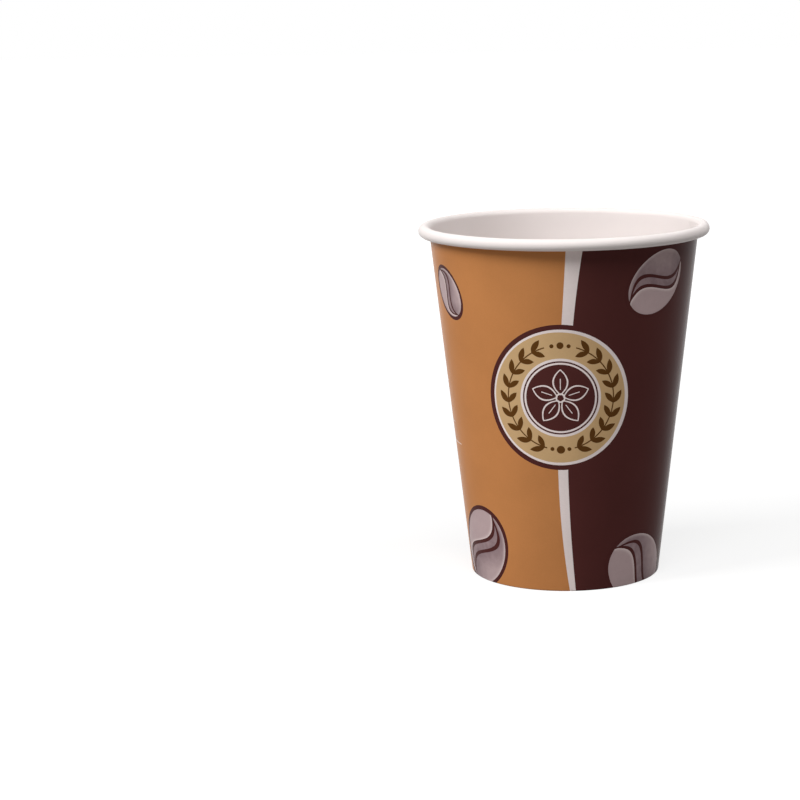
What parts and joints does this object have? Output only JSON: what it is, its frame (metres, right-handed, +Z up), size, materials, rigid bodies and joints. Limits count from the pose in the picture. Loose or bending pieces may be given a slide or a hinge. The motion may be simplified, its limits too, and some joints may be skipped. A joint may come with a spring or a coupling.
{
  "type": "paper coffee cup",
  "caption": "Single-wall paper cup for hot drinks: a tapered printed wall with a rolled rim and a lapped side seam, closed by a recessed bottom disc.",
  "frame": {"origin": "middle of the ring that the cup stands on, in the plane of the table", "axes": "+Z up along the axis of the cup; -Y towards the front of the print; the side seam starts at +X and runs round towards +Y"},
  "size_m": [0.09, 0.09, 0.11],
  "materials": {
    "printed_board": "satin print outside, coated white inside",
    "plain_board": "coated white board"
  },
  "bodies": {
    "root": {"side_wall": "printed_board", "bottom_disc": "plain_board"}
  },
  "joints": []
}
